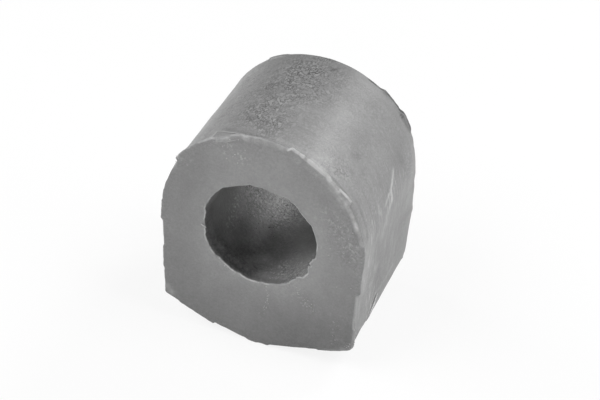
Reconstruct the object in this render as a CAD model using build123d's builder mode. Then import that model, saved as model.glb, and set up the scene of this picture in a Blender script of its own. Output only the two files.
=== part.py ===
from build123d import *
from math import acos, atan2, degrees, hypot
import os

# A moulded rubber bush that carries a round anti-roll bar in its bracket.
# All sizes are millimetres. The origin is the centre of the bore at half length.
# +Y runs along the bore, away from the face with the moulding flash, and +Z points to the
# round top.

# Bore and length
bore_radius = 12.0
bush_length = 33.0

# D-shaped outline, seen along the bore
top_radius = 21.75
top_centre_rise = 1.4
corner_half_width = 21.05
corner_drop = 22.6

# Crowned base: two bowed slopes that meet in a narrow flat land, which the bush stands on
crown_depth = 5.9
slope_bow = 0.5
land_width = 6.0

# Edges
corner_fillet = 0.8
rim_fillet = 0.45
bore_rim_chamfer = 0.3

# Flash left by the mould's parting line, as a height above the round top, a thickness along
# the bore and the angles where it starts and ends, counted from +X
flash_thickness = 0.9
flash_root = 0.6
front_flash = {"height": 0.55, "start": 35.0, "end": 147.0}
back_flash = {"height": 0.4, "start": 27.0, "end": 52.0}

# The straight sides are tangents from the base corners to the round top
corner_fall = top_centre_rise + corner_drop
corner_reach = hypot(corner_half_width, corner_fall)
side_angle = degrees(acos(top_radius / corner_reach) - atan2(corner_fall, corner_half_width))
top_centre = (0, top_centre_rise)
base_level = -(corner_drop + crown_depth)
front_face = Plane.XZ.offset(bush_length / 2)
back_face = Plane.XZ.offset(-bush_length / 2)


def flash_strip(face_plane, flash, direction):
    """A thin band that stands on the round top, flush with one end face."""
    sweep = flash["end"] - flash["start"]
    with BuildSketch(face_plane) as band:
        with BuildLine():
            crest = CenterArc(top_centre, top_radius + flash["height"], flash["start"], sweep)
            root = CenterArc(top_centre, top_radius - flash_root, flash["start"], sweep)
            Line(crest @ 0, root @ 0)
            Line(crest @ 1, root @ 1)
        make_face()
    extrude(band.sketch, amount=direction * flash_thickness)


with BuildPart() as bushing:

    # D-shaped section with its bore
    with BuildSketch(Plane.XZ) as section:
        with BuildLine():
            top = CenterArc(top_centre, top_radius, side_angle, 180 - 2 * side_angle)
            left_side = Line(top @ 1, (-corner_half_width, -corner_drop))
            land = Line((-land_width / 2, base_level), (land_width / 2, base_level))
            SagittaArc(left_side @ 1, land @ 0, -slope_bow)
            right_slope = SagittaArc(land @ 1, (corner_half_width, -corner_drop), -slope_bow)
            Line(right_slope @ 1, top @ 0)
        make_face()
        fillet(section.vertices().group_by(Axis.Y)[1], corner_fillet)
        Circle(bore_radius, mode=Mode.SUBTRACT)
    extrude(amount=bush_length / 2, both=True)

    # Softened outer rims and bore mouths
    end_faces = bushing.faces().filter_by(Axis.Y)
    outer_rims = end_faces[0].outer_wire().edges() + end_faces[1].outer_wire().edges()
    bore_mouths = end_faces[0].inner_wires()[0].edges() + end_faces[1].inner_wires()[0].edges()
    fillet(outer_rims, rim_fillet)
    chamfer(bore_mouths, bore_rim_chamfer)

    # Moulding flash round the top of the front face, and the torn end of it on the back
    flash_strip(front_face, front_flash, -1)
    flash_strip(back_face, back_flash, 1)

bushing.part.label = "bushing"

os.makedirs("parts", exist_ok=True)
export_step(bushing.part, "parts/bushing.step")
print(f"height {bushing.part.bounding_box().size.Z:.2f}, volume {bushing.part.volume:.0f}")
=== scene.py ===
import math
from functools import partial

import bpy
import numpy as np
from mathutils import Matrix, Vector


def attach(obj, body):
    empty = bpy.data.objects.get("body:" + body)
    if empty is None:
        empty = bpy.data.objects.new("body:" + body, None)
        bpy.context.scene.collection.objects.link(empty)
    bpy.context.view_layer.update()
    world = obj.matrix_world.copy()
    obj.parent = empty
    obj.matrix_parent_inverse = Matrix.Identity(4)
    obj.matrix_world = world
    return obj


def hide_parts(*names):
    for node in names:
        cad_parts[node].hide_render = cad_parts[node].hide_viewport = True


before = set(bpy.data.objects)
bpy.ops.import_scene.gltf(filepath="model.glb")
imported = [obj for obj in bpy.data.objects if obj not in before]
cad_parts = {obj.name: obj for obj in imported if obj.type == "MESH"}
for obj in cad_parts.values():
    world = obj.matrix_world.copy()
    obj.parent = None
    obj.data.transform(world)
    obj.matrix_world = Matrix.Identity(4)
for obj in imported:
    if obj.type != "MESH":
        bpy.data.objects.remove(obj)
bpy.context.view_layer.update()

# A moulded rubber D bush for a car's anti-roll bar, with the flash and scuffs of the moulding.
# Sizes in the dictionaries are millimetres and degrees, and the meshes are metres.
# x runs across the bush, y along the bore and z up, with the middle of the bore at the origin.
# Angles go round the bore from +x towards +z.
mm = 0.001


# Helpers

def toLinear(hexColour):
    parts = [int(hexColour[i:i + 2], 16) / 255 for i in (1, 3, 5)]
    linear = [c / 12.92 if c <= 0.04045 else ((c + 0.055) / 1.055) ** 2.4 for c in parts]
    return (*linear, 1.0)


def addNode(tree, kind, inputs=None, **settings):
    # an input is a value, a socket, or a node whose first output is meant
    node = tree.nodes.new(kind)
    for name, value in settings.items():
        setattr(node, name, value)
    for key, value in (inputs or {}).items():
        if isinstance(value, bpy.types.Node):
            value = value.outputs[0]
        if isinstance(value, bpy.types.NodeSocket):
            tree.links.new(value, node.inputs[key])
        else:
            node.inputs[key].default_value = value
    return node


def mathNode(tree, operation, first, second, clamp=False):
    return addNode(tree, "ShaderNodeMath",
                   {0: first, 1: second}, operation=operation, use_clamp=clamp)


def arithmetic(tree):
    # plus, minus, times and over, for one tree
    operations = ("ADD", "SUBTRACT", "MULTIPLY", "DIVIDE")
    return [partial(mathNode, tree, operation) for operation in operations]


def vectorNode(tree, operation, first, second, key=1):
    return addNode(tree, "ShaderNodeVectorMath", {0: first, key: second}, operation=operation)


def attributeNode(tree, name, kind="FLOAT"):
    return addNode(tree, "GeometryNodeInputNamedAttribute", {"Name": name}, data_type=kind)


def newTree(name, sockets):
    tree = bpy.data.node_groups.new(name, "GeometryNodeTree")
    tree.interface.new_socket("Geometry", in_out="INPUT", socket_type="NodeSocketGeometry")
    for socketName, kind in sockets.items():
        tree.interface.new_socket(socketName, in_out="INPUT", socket_type="NodeSocket" + kind)
    tree.interface.new_socket("Geometry", in_out="OUTPUT", socket_type="NodeSocketGeometry")
    return tree, addNode(tree, "NodeGroupInput").outputs


def endTree(tree, geometry, material):
    # every tree ends in real geometry, shaded smooth, with its material on
    real = addNode(tree, "GeometryNodeRealizeInstances", {"Geometry": geometry})
    smooth = addNode(tree, "GeometryNodeSetShadeSmooth", {"Geometry": real})
    painted = addNode(tree, "GeometryNodeSetMaterial", {"Geometry": smooth, "Material": material})
    addNode(tree, "NodeGroupOutput", {"Geometry": painted})


def runTree(piece, tree, values):
    # the modifier's inputs are set by identifier before the piece is first evaluated
    modifier = piece.modifiers.new(tree.name, "NODES")
    modifier.node_group = tree
    sockets = {s.name: s.identifier for s in tree.interface.items_tree if s.in_out == "INPUT"}
    for name, value in values.items():
        modifier[sockets[name]] = value
    graph = bpy.context.evaluated_depsgraph_get()
    mesh = bpy.data.meshes.new_from_object(
        piece.evaluated_get(graph), preserve_all_data_layers=True, depsgraph=graph)
    piece.modifiers.remove(modifier)
    piece.data = mesh
    return piece


def addObject(name, data):
    piece = bpy.data.objects.new(name, data)
    bpy.context.scene.collection.objects.link(piece)
    return piece


def newPiece(name, points=(), faces=(), edges=()):
    mesh = bpy.data.meshes.new(name)
    mesh.from_pydata([tuple(p) for p in points], list(edges), list(faces))
    return addObject(name, mesh)


def setAttribute(mesh, name, kind, values):
    attribute = mesh.attributes.new(name, kind, "POINT")
    attribute.data.foreach_set("vector" if kind == "FLOAT_VECTOR" else "value",
                               np.asarray(values, np.float32).ravel())


def getAttribute(mesh, name):
    values = np.zeros(len(mesh.vertices), np.int32)
    mesh.attributes[name].data.foreach_get("value", values)
    return values


def smoothStep(low, high, value):
    t = np.clip((value - low) / (high - low), 0, 1)
    return t * t * (3 - 2 * t)


def plateau(value, start, end, soft):
    # 1 between start and end, falling to 0 over the soft width on each side
    return smoothStep(start - soft, start, value) * (1 - smoothStep(end, end + soft, value))


def roundPlateau(angle, start, end, soft):
    # the same for angles in degrees, across the join at 180 too
    middle = (start + end) / 2
    away = (angle - middle + 180) % 360 - 180
    return plateau(away, start - middle, end - middle, soft)


def ripple(value, seed, waves):
    # a smooth repeating unevenness between about -1 and 1, for angles in degrees
    rng = np.random.default_rng(seed)
    total = np.zeros_like(value)
    for wave in waves:
        total += np.sin(wave * np.radians(value) + rng.uniform(0, 2 * math.pi))
    return total / math.sqrt(len(waves))


# Rubber

rubber = {
    "name": "mouldedNaturalRubber",
    "base": "#8b8b8b", "pale": "#c4c4c4", "dark": "#333333",
    "roughness": 0.42, "ior": 1.52,
    # Patterns of noise: the size in mm, alone or along x, y and z, the levels of detail, and the
    # two values that it runs between. One that starts far below 0 leaves only scattered spots.
    "patterns": {
        "cloud": (4.0, 4.0, 0.95, 1.05),                # soft cloudy patches of mould release
        "wiped": ((5.0, 1.3, 16.0), 2.0, 0.95, 1.05),   # bands wiped down the sides
        "fine": (0.42, 3.0, 0.93, 1.07),       # the mould's spark finish, three times as coarse
        "broken": (0.672, 3.0, 0.6, 1.35),     # breaks up what is painted pale or dark, wear and painted light alike
        "speck": (0.6, 2.0, -2.4, 1.5),        # grains of chalk that have come to the skin
        "scuff": ((1.6, 0.5, 4.2), 2.5, -2.4, 1.5),     # dashes of the sliding scuffs
        "crinkle": ((0.8, 1.15, 0.8), 2.5, -1.5, 1.5),  # a pitted skin, creased where it is near 0
        "pitPatch": (2.8, 2.0, 0.45, 1.4),     # patches that the pits come in
    },
    "noiseRange": (0.32, 0.68), "noiseRoughness": 0.6,   # what plain noise nearly always stays in
    # how wide a crease is in the crinkle's own values, how dark the shade painted in it is,
    # and how pale the highlight painted on the raised spots
    "creaseWidth": 0.5, "creaseShade": 0.7, "raisedShine": 0.32,
    "darkBroken": 0.35,     # how much of the dark marks, darker rubber and painted shade alike, is broken up
    "grainHeight": 0.012,    # mm
}


def rubberMaterial(r):
    # Natural rubber filled with chalk and carbon black, compression moulded and left to bloom:
    # a dull grey skin with cloudy patches, a fine grain and a broad weak sheen. Handling
    # polishes it darker, and scuffs and thin flash show paler. The pale and dark shares carry
    # painted highlight and painted shade as well.
    material = bpy.data.materials.new(r["name"])
    material.use_nodes = True
    tree = material.node_tree
    shader = tree.nodes["Principled BSDF"]
    place = addNode(tree, "ShaderNodeTexCoord").outputs["Object"]
    plus, minus, times, over = arithmetic(tree)

    def pattern(name):
        size, detail, low, high = r["patterns"][name]
        sizes = size if isinstance(size, tuple) else (size,) * 3
        scaled = vectorNode(tree, "MULTIPLY", place, [1 / (value * mm) for value in sizes])
        noise = addNode(tree, "ShaderNodeTexNoise", {
            "Vector": scaled, "Scale": 1.0, "Detail": detail, "Roughness": r["noiseRoughness"]})
        return addNode(tree, "ShaderNodeMapRange", {
            "Value": noise, "From Min": r["noiseRange"][0],
            "From Max": r["noiseRange"][1], "To Min": low, "To Max": high}).outputs["Result"]

    def mark(name):
        return addNode(tree, "ShaderNodeAttribute", attribute_name=name).outputs["Fac"]

    def mix(share, first, second):
        return addNode(tree, "ShaderNodeMix",
                       {"Factor": share, 6: first, 7: second}, data_type="RGBA").outputs[2]

    fine, broken = pattern("fine"), pattern("broken")
    tone = times(times(pattern("cloud"), pattern("wiped")), fine)
    skin = vectorNode(tree, "SCALE", toLinear(r["base"])[:3], tone, "Scale")
    specks = times(mark("specks"), pattern("speck"), True)
    dashes = times(mark("scuffs"), pattern("scuff"), True)
    # a pitted skin is crinkled: thin creases with painted shade run round raised spots with a
    # painted highlight
    crinkle = pattern("crinkle")
    crease = over(mathNode(tree, "ABSOLUTE", crinkle, 0.0), r["creaseWidth"])
    crease = times(minus(1.0, crease, True), r["creaseShade"])
    raised = times(minus(crinkle, r["creaseWidth"], True), r["raisedShine"])
    raised = times(raised, minus(1.0, mark("dark"), True))
    pitted = times(mark("pits"), pattern("pitPatch"))
    paleShare = plus(times(mark("pale"), broken), specks)
    paleShare = plus(plus(paleShare, times(raised, pitted)), dashes, True)
    evened = plus(times(broken, r["darkBroken"]), 1 - r["darkBroken"])
    darkShare = plus(times(mark("dark"), evened), times(crease, pitted), True)
    colour = mix(paleShare, skin, toLinear(r["pale"]))
    colour = mix(darkShare, colour, toLinear(r["dark"]))
    grainSpread = (r["patterns"]["fine"][3] - r["patterns"]["fine"][2]) / 2
    bump = addNode(tree, "ShaderNodeBump", {
        "Height": fine, "Distance": r["grainHeight"] / grainSpread * mm, "Strength": 1.0})
    tree.links.new(colour, shader.inputs["Base Color"])
    tree.links.new(bump.outputs["Normal"], shader.inputs["Normal"])
    shader.inputs["Roughness"].default_value = r["roughness"]
    shader.inputs["IOR"].default_value = r["ior"]
    return material


rubberSkin = rubberMaterial(rubber)


# Outline and section of the bush

bush = {
    "boreRadius": 12.0, "length": 33.0,
    "topRadius": 21.75, "topRise": 1.4,
    "cornerHalfWidth": 21.05, "cornerDrop": 22.6, "cornerRound": 0.4,
    "crownDepth": 5.9, "slopeBow": 0.5, "landWidth": 6.0,
    "edgeRound": 0.26, "mouthRound": 0.3,
    "columns": 560,      # points round the outline, 0.28 mm apart
    "topPoints": 400, "slopePoints": 160, "cornerPoints": 16,   # drawn before they are evened out
    "faceRows": 16, "wallRows": 70, "backRows": 8, "boreRows": 30,
    "together": 1e-9, "joined": 0.001,    # mm, points of the outline and the skin that are one
}

# how far the path over an edge has run, in mm, negative on the end face
edgeSteps = [-1.6, -1.2, -0.9, -0.65, -0.45, -0.3, -0.18, -0.08, 0.0, 0.08, 0.18, 0.3, 0.45,
             0.62, 0.8, 1.0, 1.2, 1.45, 1.75, 2.1, 2.5]
backSteps = [-1.6, -0.9, -0.45, -0.18, 0.0, 0.18, 0.35, 0.5, 0.65, 0.8, 1.0, 1.3, 1.8, 2.5]
mouthSteps = [-0.7, -0.4, -0.2, -0.1, 0.0, 0.1, 0.2, 0.4, 0.7, 1.1]


def bushOutline(b):
    # one closed line: round top, left side, base slopes and land, right side
    fall = b["topRise"] + b["cornerDrop"]
    reach = math.hypot(b["cornerHalfWidth"], fall)
    lean = math.acos(b["topRadius"] / reach) - math.atan2(fall, b["cornerHalfWidth"])
    angles = np.linspace(lean, math.pi - lean, b["topPoints"])
    top = np.stack([b["topRadius"] * np.cos(angles),
                    b["topRise"] + b["topRadius"] * np.sin(angles)], 1)
    corner = np.array([b["cornerHalfWidth"], -b["cornerDrop"]])
    landEnd = np.array([b["landWidth"] / 2, -b["cornerDrop"] - b["crownDepth"]])
    slope = corner - landEnd
    outward = np.array([slope[1], -slope[0]]) / np.hypot(*slope)
    t = np.linspace(0, 1, b["slopePoints"])[:, None]
    bowed = landEnd + slope * t + outward * 4 * b["slopeBow"] * t * (1 - t)
    # the base corner is rounded between a point on the slope and one on the side
    side = (top[0] - corner) / np.hypot(*(top[0] - corner))
    kept = bowed[np.hypot(*(bowed - corner).T) > b["cornerRound"]]
    start, end = kept[-1], corner + side * b["cornerRound"]
    u = np.linspace(0, 1, b["cornerPoints"])[1:-1, None]
    rounded = start * (1 - u) ** 2 + corner * 2 * u * (1 - u) + end * u ** 2
    rightHalf = np.concatenate([kept, rounded, [end]])
    line = np.concatenate([top, rightHalf[::-1] * [-1, 1], rightHalf])
    # evenly spaced points
    closed = np.concatenate([line, line[:1]])
    step = np.hypot(*np.diff(closed, axis=0).T)
    apart = step > b["together"]
    closed = closed[np.concatenate([[True], apart])]
    travel = np.concatenate([[0], np.cumsum(step[apart])])
    even = np.linspace(0, travel[-1], b["columns"], endpoint=False)
    return np.stack([np.interp(even, travel, closed[:, i]) for i in (0, 1)], 1)


def overEdge(run, roundness):
    # a rounded right angle: how far the path stands off the wall and how deep it has gone
    bend = np.sqrt(run ** 2 + roundness ** 2)
    return (run - bend) / 2, (run + bend) / 2


def bushSection(b):
    # the closed loop across the wall: zone, share of the way out to the outline, y, stand-off
    # from bore or outline, and how far the path has run over the nearest edge
    half = b["length"] / 2
    rows = []

    def addEdge(zone, steps, share, roundness, end, outwards):
        for run in steps:
            stand, depth = overEdge(run, roundness)
            rows.append((zone, share, end * (half - depth), stand * outwards, run))

    def addFlat(zone, count, end, start, stop):
        for share in np.linspace(start, stop, count + 2)[1:-1]:
            stand = -mouthSteps[0] * (1 - share) + edgeSteps[0] * share
            rows.append((zone, share, end * half, stand, 0.0))

    def addTunnel(zone, count, share, end, run):
        for y in np.linspace(half - run, run - half, count + 2)[1:-1]:
            rows.append((zone, share, end * y, 0.0, half + y))

    addFlat("face", b["faceRows"], -1, 0, 1)
    addEdge("frontEdge", edgeSteps, 1.0, b["edgeRound"], -1, 1)
    addTunnel("wall", b["wallRows"], 1.0, -1, edgeSteps[-1])
    addEdge("backEdge", backSteps[::-1], 1.0, b["edgeRound"], 1, 1)
    addFlat("back", b["backRows"], 1, 1, 0)
    addEdge("backMouth", mouthSteps[::2], 0.0, b["mouthRound"], 1, -1)
    addTunnel("bore", b["boreRows"], 0.0, 1, mouthSteps[-1])
    addEdge("frontMouth", mouthSteps[::-1], 0.0, b["mouthRound"], -1, -1)
    return rows


outline = bushOutline(bush)
section = bushSection(bush)
# which way is outwards turns over 3 mm at a corner, so that rows set in from it don't cross
cornerTurn = 5   # columns to each side
tangent = np.roll(outline, -1, 0) - np.roll(outline, 1, 0)
turning = sum(np.roll(tangent, step, 0) for step in range(-cornerTurn, cornerTurn + 1))
outward = np.stack([turning[:, 1], -turning[:, 0]], 1) / np.hypot(*turning.T)[:, None]
print("outline points", len(outline), "section rows", len(section))


def bushTree():
    # carries the section round the outline and joins both ways into one closed skin
    tree, given = newTree("mouldedBush", {
        "Outline": "Object", "Section": "Object", "Bore Radius": "Float", "Rubber": "Material"})
    lines = {}
    for name in ("Outline", "Section"):
        shape = addNode(tree, "GeometryNodeObjectInfo", {"Object": given[name]})
        size = addNode(tree, "GeometryNodeAttributeDomainSize",
                       {"Geometry": shape.outputs["Geometry"]})
        lines[name] = (shape.outputs["Geometry"], size.outputs["Point Count"])
    columns, rows = lines["Outline"][1], lines["Section"][1]

    def whole(operation, first, second):
        return addNode(tree, "FunctionNodeIntegerMath", {0: first, 1: second}, operation=operation)

    vector = partial(vectorNode, tree)
    rowsAndOne = whole("ADD", rows, 1)
    grid = addNode(tree, "GeometryNodeMeshGrid", {
        "Size X": 1.0, "Size Y": 1.0, "Vertices X": whole("ADD", columns, 1),
        "Vertices Y": rowsAndOne})
    index = addNode(tree, "GeometryNodeInputIndex")
    column = whole("MODULO", whole("DIVIDE_FLOOR", index, rowsAndOne), columns)
    row = whole("MODULO", whole("MODULO", index, rowsAndOne), rows)
    place = addNode(tree, "GeometryNodeInputPosition")

    def sample(line, field, at):
        return addNode(tree, "GeometryNodeSampleIndex", {
            "Geometry": lines[line][0], "Value": field, "Index": at}, data_type="FLOAT_VECTOR")

    onOutline = sample("Outline", place, column)
    outwards = sample("Outline", attributeNode(tree, "outward", "FLOAT_VECTOR"), column)
    across = addNode(tree, "ShaderNodeSeparateXYZ", {0: sample("Section", place, row)})
    share, along, stand = across.outputs
    fromBore = vector("NORMALIZE", onOutline, (0, 0, 0))
    boreReach = mathNode(tree, "ADD", given["Bore Radius"], stand)
    inner = vector("SCALE", fromBore, boreReach, "Scale")
    outer = vector("ADD", onOutline, vector("SCALE", outwards, stand, "Scale"))
    between = addNode(tree, "ShaderNodeMix",
                      {"Factor": share, 4: inner, 5: outer}, data_type="VECTOR").outputs[1]
    lengthways = addNode(tree, "ShaderNodeCombineXYZ", {"Y": along})
    geometry = grid.outputs["Mesh"]
    for name, value in (("column", column), ("row", row)):
        geometry = addNode(tree, "GeometryNodeStoreNamedAttribute", {
            "Geometry": geometry, "Name": name, "Value": value}, data_type="INT")
    moved = addNode(tree, "GeometryNodeSetPosition", {
        "Geometry": geometry, "Position": vector("ADD", between, lengthways)})
    joined = addNode(tree, "GeometryNodeMergeByDistance", {
        "Geometry": moved, "Distance": bush["joined"] * mm})
    facingOut = addNode(tree, "GeometryNodeFlipFaces", {"Mesh": joined})
    endTree(tree, facingOut, given["Rubber"])
    return tree


outlinePiece = newPiece("outlineLine", [(x * mm, 0, z * mm) for x, z in outline])
setAttribute(outlinePiece.data, "outward", "FLOAT_VECTOR", [(x, 0, z) for x, z in outward])
sectionPiece = newPiece("sectionLine", [(s, y * mm, stand * mm) for _, s, y, stand, _ in section])
body = newPiece("rubberBush")
runTree(body, bushTree(), {
    "Outline": outlinePiece, "Section": sectionPiece,
    "Bore Radius": bush["boreRadius"] * mm, "Rubber": rubberSkin})
for helper in (outlinePiece, sectionPiece):
    bpy.data.objects.remove(helper)
print("bush points", len(body.data.vertices), "faces", len(body.data.polygons))


# Flash, wear and tears on the edges

# The rows hold angles in degrees first, from and to. A mark then has how far it stands out, or
# where negative is worn back, in mm at its two ends, and the angle that it fades over.
frontEdge = {
    "zone": "frontEdge", "end": -1, "seed": 11, "patchSeed": 41,
    "flashDepth": 0.5, "flashRoot": 0.35, "ragged": 0.045,
    "marks": [
        # torn flash round the top, from its right end to its hard left end
        (37.4, 44, 0.78, 0.3, 0.6), (44.6, 47.2, 0.28, 0.2, 0.6), (47.8, 53.5, 0.14, 0.16, 0.9),
        (54.3, 60.5, 0.3, 0.2, 0.9), (61.3, 68, 0.26, 0.4, 0.9), (69.3, 77, 0.46, 0.66, 1.2),
        (81, 99, 0.36, 0.5, 2.8), (102, 108, 0.56, 0.54, 2), (111, 117.5, 0.2, 0, 1.5),
        (119, 126, 0.42, 0.5, 1.5), (128, 133, 0.5, 0.5, 2), (135, 145, 0.42, 0.68, 1),
        # worn back beyond it, and then a swelling down the left side
        (149, 161, -0.26, -0.12, 3), (169.5, 176, 0.14, 0.16, 2), (177, 187, 0.34, 0.54, 2.5),
        (188, 198, 0.16, 0.06, 2.5), (206.5, 215.5, 0.28, 0.29, 2.5), (218.5, 221, 0.14, 0.1, 1.5),
        # flash on the base that rises to a step
        (234, 250.2, 0.22, 0.62, 0.8), (251.8, 254.5, 0.14, 0.08, 0.9),
        # burr on the land
        (266.8, 270, 0.54, 0.6, 2.4), (272.2, 275, 0.36, 0.36, 1.5), (294.5, 297, 0.1, 0.1, 1.2),
        # tab by the right corner
        (298.5, 320, 0.36, 0.42, 1.2), (299, 311.8, 0.1, 0.2, 0.9),
        # worn right side, and thin flash above it
        (323, 338.5, -0.05, -0.1, 0.8), (340, 373, 0.34, 0.28, 1),
    ],
    # then the radius of the edge in mm, and the angle that it fades over
    "rounding": [
        (13, 35, 1.35, 3), (38, 69, 1, 1.5), (72, 78, 0.5, 1.5), (82, 125, 0.8, 3),
        (323, 338, 0.36, 1),
    ],
    # then where on the path over the edge, in mm, how pale, and the angle that it fades over,
    # with the mm too for one that is softer. Some are rubbed paler; others are painted highlight on
    # the crest of the flash, and painted light on the face beside the rounded edge.
    "rubbedAndLit": [
        (38.2, 46, 0, 0.4, 0.95, 0.8), (46, 53, -0.55, 0.2, 0.62, 2), (39, 52, -1, -0.4, 0.24, 2),
        (54, 66, -0.5, 0.7, 0.6, 2), (53, 67, -0.5, 0.15, 0.8, 1.5),
        (66, 71, -0.4, 0.35, 0.75, 1.5), (57, 66, 0.7, 1.4, 0.2, 2.5),
        (71, 78, -0.25, 0.45, 0.95, 1.5),
        (22, 38, -0.7, -0.35, 0.6, 4, 0.6), (36, 48, -2.4, -0.9, 0.24, 4),
        (50, 72, -2.4, -0.9, 0.12, 4), (12, 24, -0.6, 0.2, 0.2, 3), (80, 101, -0.8, 0, 0.26, 2),
        (93, 106, 0.15, 0.45, 0.22, 2.5), (101, 109, -0.6, 0.1, 0.16, 2),
        (110, 117, -0.8, -0.15, 0.42, 1.5), (119, 127, -0.1, 0.65, 0.42, 1.5),
        (128, 147, 0, 0.4, 0.2, 2), (346, 356, 0.1, 1.2, 0.2, 3), (322, 338, -0.3, 0.1, 0.42, 1.5),
        (313, 323, -0.25, 0.1, 0.6, 2.5), (300, 320, -0.4, 0.3, 0.3, 2),
        (172, 220, -0.15, 0.1, 0.1, 4),
    ],
    # the same, and how dark: painted shade behind the crest of the flash
    "paintedShade": [(39, 52, 0.8, 1.25, 0.26, 2.0)],
    "swellings": [],
}

backEdge = {
    "zone": "backEdge", "end": 1, "seed": 23, "patchSeed": 47,
    "flashDepth": 0.7, "flashRoot": 0.5, "ragged": 0.04,
    "marks": [
        # torn tag
        (31, 40.2, 0.46, 0.66, 3.2), (44.2, 55, 0.26, 0.44, 3.2), (112, 121.5, 0.2, 0.28, 2.5),
        (236, 252, 0.2, 0.3, 1.5), (300, 312, 0.22, 0.25, 2),
    ],
    # broad swellings of the wall towards this end, each with the mm that it fades over inwards
    "swellings": [
        (317, 336, 0.36, 0.5, 5, 9), (340, 352, 0.42, 0.2, 5, 9), (7, 19, -0.17, -0.24, 6, 3),
        (70, 122, 0.08, 0.22, 7, 4), (129, 146, 0.1, 0.12, 6, 3), (160, 192, 0.3, 0.3, 9, 7),
    ],
    "rounding": [],
    "rubbedAndLit": [
        (150, 250, -0.1, 0.3, 0.2, 6), (290, 355, -0.1, 0.4, 0.16, 6),
    ],
    "paintedShade": [
        # painted shade on the back rim where it turns from the light, along the torn tag and in its
        # nicks
        (31, 42, 0.35, 0.55, 1.4, 2.5), (42, 64, 0.3, 0.6, 0.9, 3),
        (38.5, 38.9, 0.95, 1.3, 0.8, 0.5), (40, 40.3, 1, 1.5, 0.6, 0.5),
        (62, 96, -0.5, 0.1, 0.4, 4),
    ],
}

# The front mouth of the bore isn't round: the pin of the mould tore it as it was drawn.
mouth = {
    "seed": 31, "ragged": 0.045,
    "depth": (0.3, 2.8), "lipDepth": (0.25, 0.8),    # mm into the bore where the tears fade out
    "marks": [
        (352, 385, -0.16, -0.26, 6), (36, 46, -0.46, -0.6, 9), (54, 60, -0.3, -0.3, 4),
        (72, 98, -0.44, -0.44, 8), (77, 85, -0.24, -0.3, 4), (108, 122, -0.28, -0.2, 6),
        (134, 167, 0.24, 0.48, 7), (176, 193, 0.12, 0.3, 5), (199, 221, 0.7, 0.84, 6),
        (228, 246, 0.42, 0.4, 6), (254, 270, 0.34, 0.24, 5), (277, 282, 0.14, 0.02, 4),
    ],
    "lips": [
        (306, 317, -0.42, -0.56, 4), (335, 346, -0.68, -0.78, 6),
    ],
}


# how every edge wears: numbers of waves round the bush, shares, and mm
edgeWear = {
    "roughWaves": (13, 23, 41, 67, 109), "depthWaves": (17, 29, 53), "depthChange": 0.15,
    "fullyRagged": 0.4, "leastRagged": 0.15,    # flash this wide is quite ragged, a clean edge less
    "wornSlope": (0.2, 2.3),     # worn places come back to the wall over a longer slope than flash
    "crest": -0.1,               # where on the path over the edge a mark stands fully out
    "mouthWaves": (9, 14, 23, 37, 61), "lipWaves": (41, 67, 97), "lipChange": 0.25,
}


def standOf(marks, angle):
    # how far each point of the edge stands out, in mm
    total = np.zeros_like(angle)
    for start, end, first, last, soft in marks:
        away = ((angle - (start + end) / 2 + 180) % 360 - 180) / (end - start) + 0.5
        height = first + (last - first) * np.clip(away, 0, 1)
        total += height * roundPlateau(angle, start, end, soft)
    return total


places = np.zeros(len(body.data.vertices) * 3, np.float32)
body.data.vertices.foreach_get("co", places)
places = places.reshape(-1, 3).astype(float) / mm
column, row = getAttribute(body.data, "column"), getAttribute(body.data, "row")
zone = np.array([r[0] for r in section])[row]
share, run = (np.array([r[i] for r in section])[row] for i in (1, 4))
angleOfColumn = np.degrees(np.arctan2(outline[:, 1], outline[:, 0])) % 360
angle = angleOfColumn[column]
half = bush["length"] / 2
normal = outward[column]
fromBore = outline[column] / np.hypot(*outline[column].T)[:, None]


def pushPlaces(directions, distance, where=slice(None)):
    # moves places across the bush, by mm
    places[where, 0] += directions[where, 0] * distance
    places[where, 2] += directions[where, 1] * distance


def wearEdge(edge, w):
    # moves the points near one end's outer edge out into flash or back into wear
    end, seed = edge["end"], edge["seed"]
    stand = standOf(edge["marks"], angleOfColumn)
    rough = edge["ragged"] * ripple(angleOfColumn, seed, w["roughWaves"])
    stand += rough * np.clip(np.abs(stand) / w["fullyRagged"], w["leastRagged"], 1)
    depth = np.full_like(stand, edge["flashDepth"])
    depth *= 1 + w["depthChange"] * ripple(angleOfColumn, seed + 1, w["depthWaves"])
    roundness = np.full_like(stand, bush["edgeRound"])
    for start, stop, radius, soft in edge["rounding"]:
        roundness += (radius - bush["edgeRound"]) * roundPlateau(angleOfColumn, start, stop, soft)
    here = zone == edge["zone"]
    r, c = run[here], column[here]
    before, after = overEdge(r, bush["edgeRound"]), overEdge(r, roundness[c])
    falling = smoothStep(depth[c], depth[c] + edge["flashRoot"], r)
    fall = np.where(stand[c] < 0, smoothStep(*w["wornSlope"], r), falling)
    push = stand[c] * smoothStep(edgeSteps[0], w["crest"], r) * (1 - fall)
    pushPlaces(normal, push + after[0] - before[0], here)
    places[here, 1] += -end * (after[1] - before[1])
    onSide = (share == 1.0) & (zone != "face") & (zone != "back")
    for *mark, fade in edge["swellings"]:
        inwards = np.maximum(half - end * places[:, 1], 0)
        swell = standOf([mark], angleOfColumn)[column] * (1 - smoothStep(0, fade, inwards))
        pushPlaces(normal, swell * smoothStep(edgeSteps[0], w["crest"], run) * onSide)


def tearMouth(m, w):
    stand = standOf(m["marks"], angleOfColumn)
    stand += m["ragged"] * ripple(angleOfColumn, m["seed"], w["mouthWaves"])
    lips = standOf(m["lips"], angleOfColumn)
    lips *= 1 + w["lipChange"] * ripple(angleOfColumn, m["seed"] + 1, w["lipWaves"])
    depth = places[:, 1] + half
    fade = 1 - smoothStep(*m["depth"], depth)
    lipFade = 1 - smoothStep(*m["lipDepth"], depth)
    push = (stand[column] * fade + lips[column] * lipFade) * (1 - share)
    pushPlaces(fromBore, push * np.isin(zone, ("face", "frontMouth", "bore")))
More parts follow.
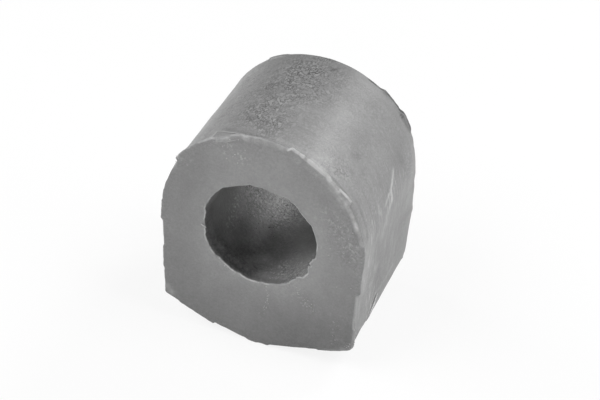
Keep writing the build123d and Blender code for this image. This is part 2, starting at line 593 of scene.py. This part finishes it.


# Scuffs, bloom, pits and painted light and shade on the skin

# Where the rubber is paler or darker, where grains of chalk show and crumbs of torn rubber cling,
# where it has slid against something, and where the skin is pitted. Each mark has a line of points
# in mm, the width that it fades over and its strength. A fourth number lifts the rubber by so many
# mm, or sinks it where negative. These lie on the outer skin.
skinWearAndLight = {
    "pale": [
        # painted highlight on the torn rim at the lower right of the mouth
        ([(7.9, -15.7, -9.1)], 0.8, 0.3),
        # forked scuff down the right side
        ([(20.2, 3.7, 9.4), (20.7, 2, 8.1), (21.1, 0.4, 6.8), (21.5, 0.2, 4.5)], 0.44, 0.85, 0.1),
        ([(21.5, 0.2, 4.5), (21.7, -1.2, 3.6), (21.75, -1.7, 2.9)], 0.8, 0.5, 0.04),
        ([(21.1, 0.3, 6.8), (21.2, -1.4, 6.3), (21.3, -3.2, 5.6)], 0.42, 0.6, 0.04),
        ([(21.7, -3.2, 2.9), (21.7, -2.2, -0.1)], 0.5, 0.4, 0.02),
        ([(21.7, -3.9, 0.3), (21.64, -3.5, -2.6)], 0.7, 0.18),
        # worn patches on the same side
        ([(20.5, 10.6, 8.7), (21.2, 11, 6.1), (21.7, 8.2, 1.7)], 1.4, 0.14),
        ([(21.6, 12, 3), (21.5, 12.8, -4)], 1.6, 0.12),
        ([(21.7, -9.6, -1), (21.6, -10.6, -4.5)], 0.9, 0.16),
        ([(21.5, -3, -9), (21.5, -6.6, -8.6)], 0.8, 0.14),
        # painted highlight in a band beside the front edge, with dashes rubbed paler
        ([(21.3, -14.4, 6), (21.75, -13.6, 1), (21.7, -13.2, -4), (21.6, -13.4, -9)], 2.2, 0.1),
        ([(21.65, -14.6, -2.7), (21.5, -13.6, -6.5), (21.42, -12.2, -10.2)], 0.65, 0.2),
        ([(21.66, -12.3, -2), (21.6, -11.8, -3.9)], 0.35, 0.4),
        ([(21.57, -8.5, -4.9), (21.54, -8.2, -6)], 0.4, 0.35),
        ([(21.5, -6.9, -7.3), (21.42, -5.4, -10)], 0.7, 0.25),
        ([(21.45, -16.2, -9.5), (21.3, -15.7, -15), (21.1, -14.5, -21)], 0.4, 0.35),
        ([(21.38, -14.5, -11.5), (21.25, -14.1, -16)], 0.6, 0.32),
        ([(21.2, -13.5, -18.5), (21.15, -12, -20.5)], 1.6, 0.16),
        # thin line and a peeling sliver along the foot of the side
        ([(21.17, 8.3, -18.7), (21.17, 3.1, -18.6), (21.18, -0.8, -18.2),
          (21.18, -3.6, -17.6)], 0.35, 0.3, 0.04),
        ([(21.18, -3.6, -17.6), (21.18, -4.4, -18.6), (21.14, -5.65, -19.7),
          (21.11, -6.7, -20.7)], 0.32, 0.75, 0.12),
        ([(21.1, 6, -21.8), (21.1, -2, -22), (21.1, -8.6, -22.2)], 0.5, 0.25, 0.05),
        # hazy bloom on the shoulder
        ([(9.7, 1.5, 20.9), (9.7, -4, 20.9), (10.2, -10.7, 20.6), (12.2, -14.5, 19.3)], 2.6, 0.12),
        ([(13, -6.7, 18.8), (15.9, -12.5, 16.2)], 2, 0.1),
        ([(9.4, -13.6, 21), (11.8, -13.2, 19.6)], 1.3, 0.16),
        ([(2.6, -14.6, 23), (6.4, -14.6, 22.2)], 1.1, 0.16),
        # torn flash folded back over the top
        ([(-12, -15.5, 19.8), (-11.5, -14.4, 20.3), (-8.8, -15.6, 21.8)], 0.7, 0.06, 0.16),
    ],
    "dark": [
        # painted shade in the groove behind the folded flash, which is sunk a little
        ([(-9.9, -12.9, 20.7), (-7.3, -14.1, 21.9), (-4.7, -14.8, 22.6),
          (0.5, -15.4, 23.1)], 0.45, 0.2, -0.04),
        # darker spots on the shoulder
        ([(14.5, -6, 17.6), (15.3, -5, 17)], 0.8, 0.2), ([(15.8, -9.9, 16.3)], 0.6, 0.22),
        # darker along the back of the top and at the far right
        ([(-7, 14.5, 22), (-1, 14.5, 23.1), (3, 13.5, 22.9)], 5, 0.17),
        ([(-4.5, 3, 22.7), (-0.5, 5, 23.1)], 4.5, 0.1),
        ([(-8, -9.5, 21.6), (-8.5, 10, 21.4)], 3.5, 0.06),
        ([(20.4, 8.5, 8.8), (21.2, 11, 5)], 3.4, 0.2),
        ([(20, -3, 10), (19.6, 12, 10.6)], 3.5, 0.12), ([(21.7, 7, 2), (21.5, 5, -12)], 9, 0.16),
        ([(21.7, -2, 5), (21.5, -4, -14)], 4, 0.08),
        ([(20.5, -10, 10.5), (21.6, -6.5, -5), (21.3, -1.5, -17)], 2.6, 0.12),
        # beside the forked scuff
        ([(21, -1.2, 7.8), (21.5, -1.4, 4.6)], 0.5, 0.14),
        # torn nicks in the mouth
        ([(9, -14.9, -7.8), (7.4, -15.3, -9.4)], 0.35, 0.2, -0.12),
        ([(11.2, -14.8, -4.3), (10.6, -14.6, -5.8)], 0.5, 0.8, -0.1),
        # chipped lower right edge
        ([(21, -16.2, -23), (21, -7.9, -22.6)], 0.9, 0.05, -0.24),
    ],
    "specks": [
        ([(10.2, -11.5, 20.6), (13.4, -13, 18.5)], 3.2, 0.14),
        ([(-17.5, -15, 14.5), (-16.5, 14, 15.5)], 2.4, 0.16),
        ([(21, 11, 8), (21.4, 12.5, 3)], 2, 0.24),
    ],
    "scuffs": [
        ([(21.3, -9, 6), (21.6, -9, -16)], 5, 0.3), ([(21.5, 4, 5), (21.5, 5, -16)], 7, 0.2),
        ([(21.4, -6, -12), (21.2, -6.5, -20)], 3.5, 0.36),
        ([(20.9, -1, 7.5), (21.6, -2, 1)], 2, 0.34),
    ],
    "pits": [
        ([(-0.5, 15, 23.1), (-1.2, 4, 23.1), (-2.6, -6, 23), (-1.5, -11, 23.1)], 3.8, 0.72),
        ([(-5.5, 12.6, 22.4), (-7.5, 0, 21.8), (-6.5, -9, 22.2)], 3, 0.45),
        ([(4.5, 12, 22.7), (3.5, 2, 22.9)], 2.6, 0.3),
        ([(-13.6, 13, 18.3), (-12.8, -1, 18.9), (-13.6, -12, 18.3)], 2.8, 0.3),
        ([(9.8, -14, -6.9), (7.4, -14.4, -9.4)], 2, 0.42),
        ([(14.8, -11.5, 17), (11.5, -15, 19.5)], 2, 0.35),
    ],
}

# these lie on the front face, their points across and up from the centre of the bore
faceWearAndShade = {
    "pale": [
        # hazy bloom at the top
        ([(-7, 17), (4, 18.6)], 2.8, 0.07),
        # rubbed tips of the front face
        ([(-18.2, 13.4)], 0.5, 0.7), ([(-20.4, -20.6), (-19.4, -22)], 0.7, 0.45),
        ([(18.8, -22.9), (20.1, -22.3), (20.5, -21.4)], 0.4, 0.3),
    ],
    "dark": [
        # painted shade, darker towards the corner of the front face and at its left side
        ([(8, -25), (20, -21)], 7.5, 0.25), ([(-18, -22), (-8, -25)], 6, 0.08),
        ([(-19, 8), (-20, -12)], 6, 0.11), ([(19, -11), (19.5, -21)], 2.6, 0.08),
    ],
    "specks": [
        ([(14.5, 9.5), (19.4, 2)], 2.6, 0.2), ([(7, -11.8), (12.5, -15.5)], 1.8, 0.14),
        ([(-8.4, 19.2), (-5, 17.6)], 1.6, 0.3), ([(-16.5, 12)], 1.6, 0.1),
        ([(18, -16), (17, -21)], 1.8, 0.14),
    ],
    "crumbs": [
        ([(-7.9, 19.6), (-6.4, 17.8)], 1, 0.12), ([(15, 8.5), (18.8, 3)], 2.2, 0.08),
        ([(8.6, -11.4), (12.2, -15.4)], 0.9, 0.4),
        ([(1.8, -13.4), (2.3, -16.5), (1, -19.8)], 0.3, 0.8),
        ([(17.5, -18.5), (17.2, -21.5)], 0.9, 0.3), ([(-9, 20.4), (-5, 21.8)], 0.5, 0.2),
        ([(-10.6, -6.6), (-6.5, -10.4), (0.5, -12.4)], 0.3, 0.4),
        ([(19.6, -22.6), (20.5, -21.4)], 0.5, 0.8),
    ],
    "pits": [
        ([(16, 7.5), (19, 1)], 2.4, 0.3),
    ],
}

# these lie in the bore and stop at its mouth
boreWearAndLight = {
    "pale": [
        # painted highlight on the torn rim at the lower right of the mouth
        ([(7.4, -15.4, -9.5), (8.6, -14.6, -8.4)], 1.1, 0.3),
        # painted light in the bore, low on the right by the mouth and on the lower left further in
        ([(9.9, -11, -6.8), (8.5, -13.5, -8.5), (7.4, -9.5, -9.4), (5, -12.5, -10.9)], 3, 0.34),
        ([(-4, 8.5, -11.3), (0, 8, -12)], 3.2, 0.24),
        ([(-7, 9.5, -9.7), (-3.7, 9, -11.4), (-1.5, 9.5, -11.9)], 2.5, 0.3),
        ([(-9, 4.5, -7.9), (-5.5, 5, -10.7)], 1.8, 0.2),
        ([(4.3, -2, -11.2), (4.1, 1.5, -11.3)], 2, 0.15),
        ([(9.8, -15.6, -6.9), (9.2, -15.2, -7.7)], 0.7, 0.5),
    ],
    "dark": [
        # painted shade inside the bore, just inside the mouth and along the bottom
        ([(-12, -14.2, 1), (-10.4, -14.6, -6), (-7.7, -14.6, -9.2), (-4.1, -14.6, -11.3),
          (-2.6, -14.6, -11.7)], 2, 0.42),
        ([(1.5, -12.5, -11.9), (5.5, -12, -10.7)], 2, 0.2),
        ([(-8, -14.4, -8.9), (-4.1, -14, -11.3), (-2.6, -13.4, -11.7)], 2.5, 0.24),
        ([(-10.4, -13.2, -6), (-8.9, -12.6, -8.1)], 1.9, 0.24),
        ([(-1.6, -12.2, -11.9), (0.3, -10.4, -12), (1, -8, -12)], 1.9, 0.3),
        ([(-11.8, -12.5, 2), (-11.8, -12, -2), (-10.4, -12, -6)], 2.4, 0.16),
        ([(-6.5, -10.5, -10.1), (-4.1, -8, -11.3), (-2.2, -6.8, -11.8)], 2.6, 0.44),
        ([(-8, -5, -9), (-4.9, -3, -10.9), (-4.7, 2, -11)], 2.8, 0.5),
        ([(-5.2, -10.5, -10.8), (-5, -5, -10.9), (-4.8, -1, -11)], 2.6, 0.4),
        ([(-8.4, 0, -8.6), (-7.7, 4, -9.2)], 2.4, 0.2),
        ([(-10.6, 1.5, -5.6), (-10.2, 4, -6.3)], 2.2, 0.2),
        ([(-2.6, -1.4, -11.7), (1.2, -4.9, -11.9)], 2.4, 0.26),
    ],
    "specks": [
        ([(-8.4, 4.5, -8.5), (-5, 6, -10.9), (-3, 5.5, -11.6)], 2.6, 1.1),
        ([(-7.1, 0.5, -9.7), (-4.3, 2, -11.2)], 1.9, 1.05),
        ([(-11, -3, -4.8), (-10, -8, -6.6)], 2, 0.7),
        ([(4, -12, -11.3), (8.6, -11.5, -8.4)], 3, 0.75),
    ],
    "crumbs": [
        ([(-4.5, 8, -11.1), (-3, 1, -11.6), (-8, -1, -8.9)], 2.5, 0.2),
    ],
    "pits": [
        ([(-10.6, 3.4, -5.7), (-7, 6, -9.8), (-3, 8, -11.6)], 3.2, 0.9),
        ([(5, -12, -10.9), (9, -11.5, -7.9)], 2.6, 0.42),
    ],
}

# what each skin has all over, before its marks
skinLevels = {
    "wall": {"pits": 0.19, "scuffs": 0.04, "specks": 0.04},
    "frontEdge": {"pits": 0.18, "specks": 0.04},
    # the bore's dark level is painted shade
    "bore": {"pits": 0.2, "dark": 0.06, "specks": 0.12},
    "frontMouth": {"pits": 0.15},
    "face": {"pits": 0.07, "specks": 0.03},
    "back": {"pits": 0.07, "specks": 0.03},
}


def distanceTo(line, points):
    # from each point to the nearest place on the line
    line = np.array(line, float)
    nearest = np.linalg.norm(points - line[0], axis=1)
    for start, end in zip(line[:-1], line[1:]):
        along = np.clip((points - start) @ (end - start) / ((end - start) @ (end - start)), 0, 1)
        away = np.linalg.norm(points - start - along[:, None] * (end - start), axis=1)
        nearest = np.minimum(nearest, away)
    return nearest


# broad tones, as shares of pale or dark rubber, with the sizes and angles that they reach over
tones = {
    "marks": ("pale", "dark", "specks", "crumbs", "scuffs", "pits"),
    "patchBlur": 0.22, "patchEven": 0.85, "patchRipple": 0.25, "patchWaves": (19, 37, 61, 89),
    "boreStart": 0.15,    # mm over the rim of the mouth, which belongs to the face
    # the torn rim of the mouth catches the light, more so at some angles: from, to, soft, how much
    "rimEnd": 0.35, "rimPale": 0.14, "rimGlint": 0.45, "glintOver": (-0.3, 0.0, 0.1),
    "glintEven": 0.5, "glintRipple": 0.35, "glintWaves": (5, 11, 17, 29), "glintSeed": 43,
    "glints": [(220, 248, 12, 1.5), (256, 296, 8, 0.6), (322, 395, 12, 1.0), (148, 200, 12, 1.0)],
    # painted shade just inside it, more at the lower left
    "innerShade": 0.22, "innerShadeOver": (0.3, 1.1, 0.2), "lowerLeft": (188, 292, 10), "moreInnerShade": 0.14,
    # the end face is paler round the mouth, with painted light at the top and painted shade towards
    # the foot
    "faceEnd": 0.1,      # mm over the front edge
    "haloRadius": 12.4, "haloWidth": 3.4, "halo": 0.1, "rightHalo": 0.07, "rightFrom": (-4, 10),
    "topPale": 0.06, "topFrom": (4, 20), "topRight": (-16, 2),
    "footDark": 0.15, "footFrom": (-27, -8),
    "pitsRubbedOff": 0.8, "rubbedEnough": 2.5,    # rubbing and painted highlight take the pits off the edge
    "strongest": 1.5,    # no mark of any kind adds up to more
}

inBore = np.isin(zone, ("bore", "backMouth")) | (
    (zone == "frontMouth") & (run > tones["boreStart"]))


def markSkin(t):
    # how pale, dark, specked and so on each point is, and how many mm the marks lift it
    marks = {name: np.zeros(len(places)) for name in t["marks"]}
    lifted = np.zeros(len(places))
    onFront = {name: [([(x, -half, z) for x, z in line], *rest) for line, *rest in lines]
               for name, lines in faceWearAndShade.items()}
    for wearAndLight, within in ((skinWearAndLight, 1), (onFront, 1), (boreWearAndLight, inBore)):
        for name, lines in wearAndLight.items():
            # most marks have no lift
            for line, wide, strength, *lift in lines:
                near = within * np.exp(-(distanceTo(line, places) / wide) ** 2)
                marks[name] += strength * near
                lifted += sum(lift) * near
    for zoneName, levels in skinLevels.items():
        for name, level in levels.items():
            marks[name] += level * (zone == zoneName)

    for edge in (frontEdge, backEdge):
        uneven = t["patchRipple"] * ripple(angle, edge["patchSeed"], t["patchWaves"])
        uneven = (t["patchEven"] + uneven) * (zone == edge["zone"])
        for name, patches in (("pale", edge["rubbedAndLit"]), ("dark", edge["paintedShade"])):
            for start, end, low, high, strength, soft, *blur in patches:
                over = plateau(run, low, high, blur[0] if blur else t["patchBlur"])
                marks[name] += strength * uneven * over * roundPlateau(angle, start, end, soft)
    atMouth = zone == "frontMouth"
    glint = 1 + sum(more * roundPlateau(angle, *reach) for *reach, more in t["glints"])
    glint *= t["glintEven"] + t["glintRipple"] * ripple(angle, t["glintSeed"], t["glintWaves"])
    glint *= t["rimGlint"] * plateau(run, *t["glintOver"])
    marks["pale"] += atMouth * (run < t["rimEnd"]) * (t["rimPale"] + glint)
    # painted shade just inside the mouth, more at the lower left
    innerShade = t["innerShade"] + t["moreInnerShade"] * roundPlateau(angle, *t["lowerLeft"])
    marks["dark"] += innerShade * atMouth * plateau(run, *t["innerShadeOver"])

    x, _, z = places.T
    onFace = np.isin(zone, ("face", "back")) | ((zone == "frontEdge") & (run < t["faceEnd"]))
    halo = np.exp(-((np.hypot(x, z) - t["haloRadius"]) / t["haloWidth"]) ** 2)
    halo *= t["halo"] + t["rightHalo"] * smoothStep(*t["rightFrom"], x)
    # painted light at the top of the end face, and painted shade towards its foot
    top = t["topPale"] * smoothStep(*t["topFrom"], z) * smoothStep(*t["topRight"], x)
    marks["pale"] += onFace * (halo + top)
    marks["dark"] += t["footDark"] * onFace * (1 - smoothStep(*t["footFrom"], z))
    rubbedAndLit = (zone == "frontEdge") * np.clip(t["rubbedEnough"] * marks["pale"], 0, 1)
    marks["pits"] *= 1 - t["pitsRubbedOff"] * rubbedAndLit
    return {name: np.clip(values, 0, t["strongest"]) for name, values in marks.items()}, lifted


skinMarks, lifted = markSkin(tones)
wearEdge(frontEdge, edgeWear)
wearEdge(backEdge, edgeWear)
tearMouth(mouth, edgeWear)
onWall = np.isin(zone, ("wall", "frontEdge", "backEdge"))
pushPlaces(np.where((share > 0.5)[:, None], normal, -fromBore), lifted * (onWall | inBore))
body.data.vertices.foreach_set("co", (places * mm).astype(np.float32).ravel())
for name, values in skinMarks.items():
    setAttribute(body.data, name, "FLOAT", values)
body.data.update()
print("edges worn and torn, skin marked")


# Waves and pits of the moulded skin

skin = {
    "waviness": 0.05, "waveSize": 5.5, "waveDetail": 2.0,    # mm, how the mould let the rubber sink
    "pitDepth": 0.07, "creaseReach": 0.08,    # mm, and how far from its middle the noise still pits
    "seed": 7.0,
    "noiseReach": 0.25,    # how far from its middle the noise of the waves goes
}


def skinTree(sk):
    tree, given = newTree("rubberSkin", {
        "Waviness": "Float", "Wave Size": "Float", "Pit Depth": "Float", "Pit Size": "Vector",
        "Seed": "Float", "Rubber": "Material"})
    place = addNode(tree, "GeometryNodeInputPosition")
    _, minus, times, over = arithmetic(tree)
    waveScale = over(1.0, given["Wave Size"])
    wave = addNode(tree, "ShaderNodeTexNoise", {
        "Vector": place, "W": given["Seed"], "Scale": waveScale, "Detail": sk["waveDetail"],
    }, noise_dimensions="4D")
    waves = times(minus(wave, 0.5), over(given["Waviness"], sk["noiseReach"]))
    # the same noise as the creases have in the rubber's colour
    crinkle = addNode(tree, "ShaderNodeTexNoise", {
        "Vector": vectorNode(tree, "DIVIDE", place, given["Pit Size"]), "Scale": 1.0,
        "Detail": rubber["patterns"]["crinkle"][1], "Roughness": rubber["noiseRoughness"]})
    crease = mathNode(tree, "ABSOLUTE", minus(crinkle, 0.5), 0.0)
    pitted = minus(1.0, over(crease, sk["creaseReach"]), True)
    depth = times(times(pitted, attributeNode(tree, "pits")), given["Pit Depth"])
    normal = addNode(tree, "GeometryNodeInputNormal")
    offset = vectorNode(tree, "SCALE", normal, minus(waves, depth), "Scale")
    moved = addNode(tree, "GeometryNodeSetPosition", {
        "Geometry": given["Geometry"], "Offset": offset})
    endTree(tree, moved, given["Rubber"])
    return tree


runTree(body, skinTree(skin), {
    "Waviness": skin["waviness"] * mm, "Wave Size": skin["waveSize"] * mm,
    "Pit Depth": skin["pitDepth"] * mm,
    "Pit Size": [size * mm for size in rubber["patterns"]["crinkle"][0]],
    "Seed": skin["seed"], "Rubber": rubberSkin})
print("skin waved and pitted")


# Strands of torn flash

strands = {
    # each runs along a line of points in mm, with its radius at the two ends and how pale it is
    "lines": [
        # edge of the flash folded back over the round top
        ([(-15.2, -15.6, 17.05), (-13.9, -15.8, 18.2), (-12.7, -15.9, 19.1), (-11.65, -15.4, 19.8),
          (-11.5, -14.2, 19.9), (-11.3, -13.5, 20), (-10.2, -13.8, 20.6), (-8.8, -14.4, 21.25),
          (-7, -15.1, 22), (-5.6, -15.5, 22.4), (-3.8, -15.8, 22.8), (-2, -15.8, 23.05)],
         0.15, 0.12, 0.3),
        # loose thread on the top of the front face
        ([(-10.9, -16.5, 19.75), (-9.8, -16.6, 20.15), (-8.4, -16.62, 20.6), (-6.9, -16.62, 21.2),
          (-5.6, -16.55, 21.9)], 0.1, 0.06, 0.3),
        # sliver peeling off the foot of the right side
        ([(21.3, -1.9, -18.6), (21.36, -3.2, -19.2), (21.38, -5, -20.1), (21.36, -6.2, -20.7),
          (21.3, -7, -21.1)], 0.2, 0.18, 1.0),
        # curl at the left of the mouth
        ([(-12, -16.25, -2.3), (-12.3, -16.5, -1.8), (-12.65, -16.65, -1.5),
          (-13.05, -16.6, -1.4)], 0.17, 0.14, 1.7),
    ],
    "sides": 8, "step": 0.25, "tip": 0.03,    # step from ring to ring, and the radius of the ends
}


def strandTree():
    # sweeps a ring along each line, and closes the ends
    tree, given = newTree("tornStrands", {"Step": "Float", "Sides": "Int", "Rubber": "Material"})
    line = addNode(tree, "GeometryNodeMeshToCurve", {"Mesh": given["Geometry"]})
    line = addNode(tree, "GeometryNodeCurveSplineType", {"Curve": line}, spline_type="CATMULL_ROM")
    line = addNode(tree, "GeometryNodeResampleCurve",
                   {"Curve": line, "Length": given["Step"]}, mode="LENGTH")
    ring = addNode(tree, "GeometryNodeCurvePrimitiveCircle",
                   {"Resolution": given["Sides"], "Radius": 1.0})
    tube = addNode(tree, "GeometryNodeCurveToMesh", {
        "Curve": line, "Profile Curve": ring,
        "Scale": attributeNode(tree, "thick"), "Fill Caps": True})
    endTree(tree, tube, given["Rubber"])
    return tree


def makeStrands(st):
    points, edges, thick, pale = [], [], [], []
    for line, first, last, paleness in st["lines"]:
        edges += [(i - 1, i) for i in range(len(points) + 1, len(points) + len(line))]
        points += [np.array(point) * mm for point in line]
        radius = np.linspace(first, last, len(line))
        radius[[0, -1]] = st["tip"]
        thick += list(radius * mm)
        pale += [paleness] * len(line)
    piece = newPiece("flashStrands", points, edges=edges)
    setAttribute(piece.data, "thick", "FLOAT", thick)
    setAttribute(piece.data, "pale", "FLOAT", pale)
    return runTree(piece, strandTree(), {
        "Step": st["step"] * mm, "Sides": st["sides"], "Rubber": rubberSkin})


flashStrands = makeStrands(strands)
print("strand faces", len(flashStrands.data.polygons))


# Crumbs of torn rubber

crumbs = {
    "perSquareMillimetre": 4.0, "smallest": 0.06, "largest": 0.15,   # mm, the radius of a crumb
    "flattest": 0.6, "longest": 1.3,    # how much it is squashed or drawn out along each axis
    "seed": 5, "pale": 0.85,
    # crumbs that stand alone on the front face, across and up from the centre of the bore
    "alone": [(-6.6, 17.4), (-4.1, 19.8), (1.8, -13.7), (2.3, -15.1), (2.0, -18.2), (1.7, -19.0),
              (1.5, -19.2), (0.5, -20.4), (10.2, -13.2), (11.5, -14.4), (11.8, -15.4), (8.7, -11.2),
              (16.7, -16.7), (16.9, -16.9), (16.8, -18.7), (16.8, -7.4), (19.8, -6.7), (12.9, 1.6),
              (13.8, 3.7), (14.6, 0.1), (-18.6, 13.8), (-18.2, 13.2), (-18.8, 12.4), (19.9, -21.9),
              (20.3, -21.2), (20.5, -22.0), (20.0, -22.5), (20.7, -21.4), (19.6, -22.3)],
}


def crumbTree(c):
    # small lumps at the lone points, and scattered where the body's crumbs attribute says
    tree, given = newTree("rubberCrumbs", {
        "Carrier": "Object", "Density": "Float", "Smallest": "Float", "Largest": "Float",
        "Seed": "Int", "Pale": "Float", "Rubber": "Material"})
    carrier = addNode(tree, "GeometryNodeObjectInfo", {"Object": given["Carrier"]})
    spots = addNode(tree, "GeometryNodeDistributePointsOnFaces", {
        "Mesh": carrier.outputs["Geometry"], "Seed": given["Seed"],
        "Density": mathNode(tree, "MULTIPLY", attributeNode(tree, "crumbs"), given["Density"])})
    alone = addNode(tree, "GeometryNodeMeshToPoints", {"Mesh": given["Geometry"]})
    both = addNode(tree, "GeometryNodeJoinGeometry")
    for points in (alone.outputs["Points"], spots.outputs["Points"]):
        tree.links.new(points, both.inputs[0])

    def random(kind, low, high, keys):
        return addNode(tree, "FunctionNodeRandomValue",
                       {keys[0]: low, keys[1]: high, "Seed": given["Seed"]}, data_type=kind)

    turn = random("FLOAT_VECTOR", (0.0,) * 3, (math.tau,) * 3, (0, 1))
    size = random("FLOAT", given["Smallest"], given["Largest"], (2, 3)).outputs[1]
    squash = random("FLOAT_VECTOR", (c["flattest"],) * 3, (c["longest"],) * 3, (0, 1))
    lump = addNode(tree, "GeometryNodeMeshIcoSphere", {"Radius": 1.0, "Subdivisions": 2})
    painted = addNode(tree, "GeometryNodeStoreNamedAttribute", {
        "Geometry": lump, "Name": "pale", "Value": given["Pale"]}, data_type="FLOAT")
    lumps = addNode(tree, "GeometryNodeInstanceOnPoints", {
        "Points": both, "Instance": painted, "Rotation": turn,
        "Scale": vectorNode(tree, "SCALE", squash, size, "Scale")})
    endTree(tree, lumps, given["Rubber"])
    return tree


rubberCrumbs = newPiece("rubberCrumbs", [(x * mm, -half * mm, z * mm) for x, z in crumbs["alone"]])
runTree(rubberCrumbs, crumbTree(crumbs), {
    "Carrier": body, "Density": crumbs["perSquareMillimetre"] / mm ** 2,
    "Smallest": crumbs["smallest"] * mm, "Largest": crumbs["largest"] * mm,
    "Seed": crumbs["seed"], "Pale": crumbs["pale"], "Rubber": rubberSkin})
print("crumb faces", len(rubberCrumbs.data.polygons))


# Camera

camera = {
    "place": (94.08, -262.45, 211.55), "azimuth": 19.3285, "elevation": 37.4948, "roll": 3.8393,
    "lens": 101.31, "sensor": 36.0, "nearest": 10.0, "farthest": 10000.0,
}


def makeCamera(c):
    lens = bpy.data.cameras.new("photoCamera")
    lens.lens, lens.sensor_width, lens.sensor_fit = c["lens"], c["sensor"], "HORIZONTAL"
    lens.clip_start, lens.clip_end = c["nearest"] * mm, c["farthest"] * mm
    eye = addObject("photoCamera", lens)
    turn = (Matrix.Rotation(math.radians(c["azimuth"]), 4, "Z")
            @ Matrix.Rotation(math.radians(90 - c["elevation"]), 4, "X")
            @ Matrix.Rotation(math.radians(c["roll"]), 4, "Z"))
    eye.matrix_world = Matrix.Translation(Vector(c["place"]) * mm) @ turn
    bpy.context.scene.camera = eye


makeCamera(camera)


# Floor, backdrop and lamps

studio = {
    "floorSize": 3000.0, "floorColour": "#f2f2f2", "floorGlow": 0.85, "floorRoughness": 0.9,
    "surround": 0.06,
    # the bearing and height of each lamp in degrees, how far off and how wide in mm, and its watts
    "lamps": [
        ("keyBehindRight", 150, 42, 700, 260, 1.48),
        ("lowBehindRight", 125, 15, 800, 500, 1.2),
        ("right", 90, 25, 800, 500, 1.2),
        ("highRight", 90, 60, 800, 400, 2.0),
        ("lowFront", 10, 20, 900, 500, 0.67),
        ("highFrontLeft", -45, 50, 800, 500, 3.0),
        ("left", -90, 30, 800, 500, 2.3),
    ],
}


def makeLamp(name, azimuth, height, distance, wide, watts):
    light = bpy.data.lights.new(name, "AREA")
    light.shape, light.size, light.energy = "DISK", wide * mm, watts
    piece = addObject(name, light)
    a, e = math.radians(azimuth), math.radians(height)
    away = Vector((math.sin(a) * math.cos(e), -math.cos(a) * math.cos(e), math.sin(e)))
    piece.location = away * distance * mm
    piece.rotation_mode = "QUATERNION"
    piece.rotation_quaternion = away.to_track_quat("Z", "Y")
    piece.visible_camera = False


def cameraSees(tree, share, usual, seen, output):
    # for the camera, so much of the usual shader gives way to another
    ray = addNode(tree, "ShaderNodeLightPath").outputs["Is Camera Ray"]
    mixed = addNode(tree, "ShaderNodeMixShader", {
        0: mathNode(tree, "MULTIPLY", ray, share), 1: usual, 2: seen})
    tree.links.new(mixed.outputs[0], tree.nodes[output].inputs["Surface"])


def makeStudio(s):
    scene = bpy.context.scene
    scene.view_settings.view_transform = "Standard"
    white = {"Color": (1, 1, 1, 1), "Strength": 1.0}
    low = min(vertex.co.z for vertex in body.data.vertices)   # the floor just touches the land
    reach = s["floorSize"] / 2 * mm
    floor = newPiece("floor", [(-reach, -reach, low), (reach, -reach, low),
                               (reach, reach, low), (-reach, reach, low)], [(0, 1, 2, 3)])
    material = bpy.data.materials.new("matteWhiteFloor")
    material.use_nodes = True
    tree = material.node_tree
    shader = tree.nodes["Principled BSDF"]
    shader.inputs["Base Color"].default_value = toLinear(s["floorColour"])
    shader.inputs["Roughness"].default_value = s["floorRoughness"]
    shader.inputs["Specular IOR Level"].default_value = 0.0
    # the camera sees the floor as nearly white by its own glow, with the bush's shadow left on it
    glow = addNode(tree, "ShaderNodeEmission", white)
    cameraSees(tree, s["floorGlow"], shader, glow, "Material Output")
    floor.data.materials.append(material)

    scene.world = bpy.data.worlds.new("softSurround")
    scene.world.use_nodes = True
    tree = scene.world.node_tree
    dim = addNode(tree, "ShaderNodeBackground", {**white, "Strength": s["surround"]})
    bright = addNode(tree, "ShaderNodeBackground", white)
    cameraSees(tree, 1.0, dim, bright, "World Output")
    for lamp in s["lamps"]:
        makeLamp(*lamp)


makeStudio(studio)

for piece in (body, flashStrands, rubberCrumbs):
    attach(piece, "root")
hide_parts("bushing")
